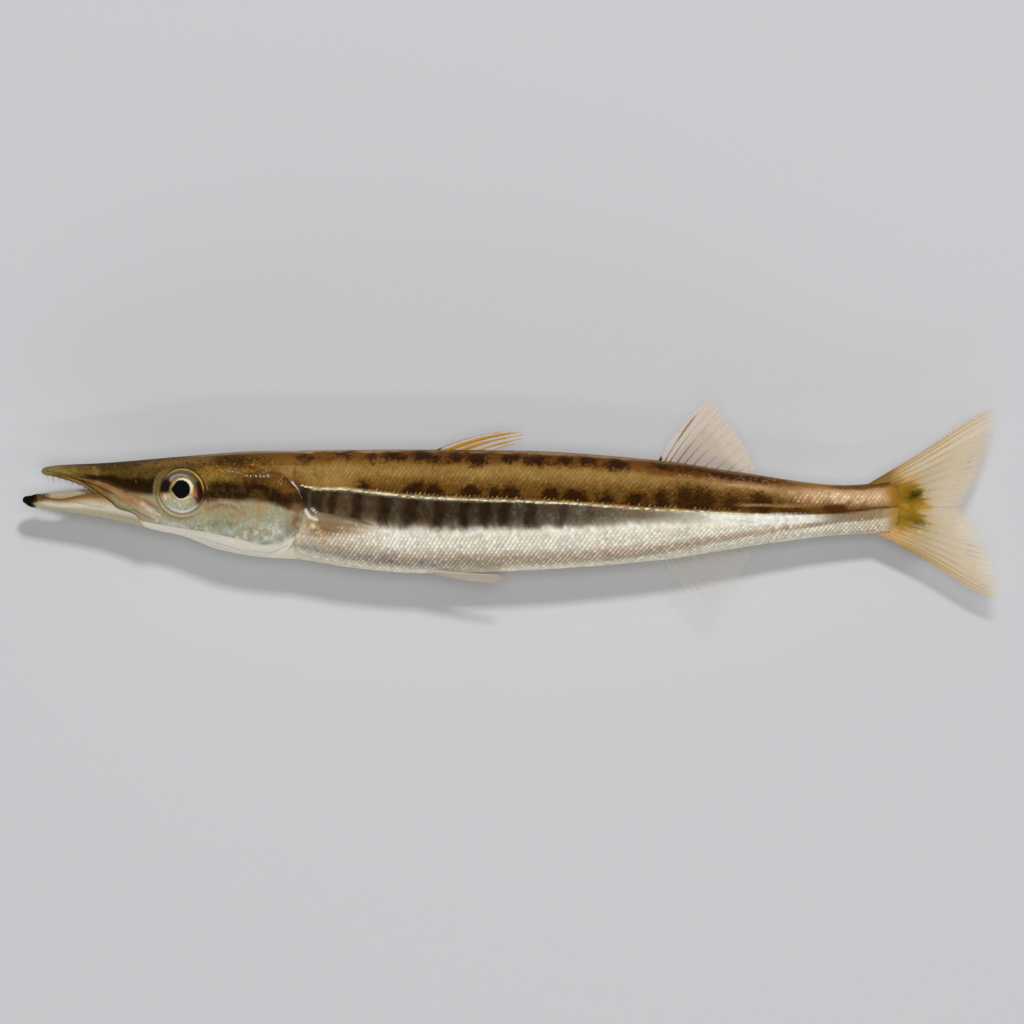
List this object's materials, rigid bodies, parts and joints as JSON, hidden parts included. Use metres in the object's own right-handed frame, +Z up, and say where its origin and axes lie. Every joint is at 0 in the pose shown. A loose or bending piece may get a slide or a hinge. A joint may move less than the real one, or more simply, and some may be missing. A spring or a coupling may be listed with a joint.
{
  "type": "life-size model of a young barracuda",
  "caption": "Young barracuda lying on its right side as a life-size museum model, its mouth open and its fins part folded.",
  "frame": {"origin": "middle of the outline on the floor plane that the fish lies on", "axes": "+X from the snout towards the tail fin, +Y towards the back, +Z up, out of the left flank"},
  "size_m": [0.1204, 0.0264, 0.0116],
  "materials": {
    "skin": "wet gloss, silvery below",
    "jaw": "satin",
    "fin": "clear, amber tint",
    "eye": "polished"
  },
  "bodies": {
    "root": {"head": "skin", "lower_jaw": "jaw", "gill_cover_left": "skin", "gill_cover_right": "skin", "eye_left": "eye", "eye_right": "eye", "trunk": "skin", "tail": "skin", "dorsal_fin_first": "fin", "dorsal_fin_second": "fin", "anal_fin": "fin", "tail_fin_upper": "fin", "tail_fin_lower": "fin", "pectoral_fin_left": "fin", "pectoral_fin_right": "fin", "pelvic_fin_left": "fin", "pelvic_fin_right": "fin"}
  },
  "joints": []
}
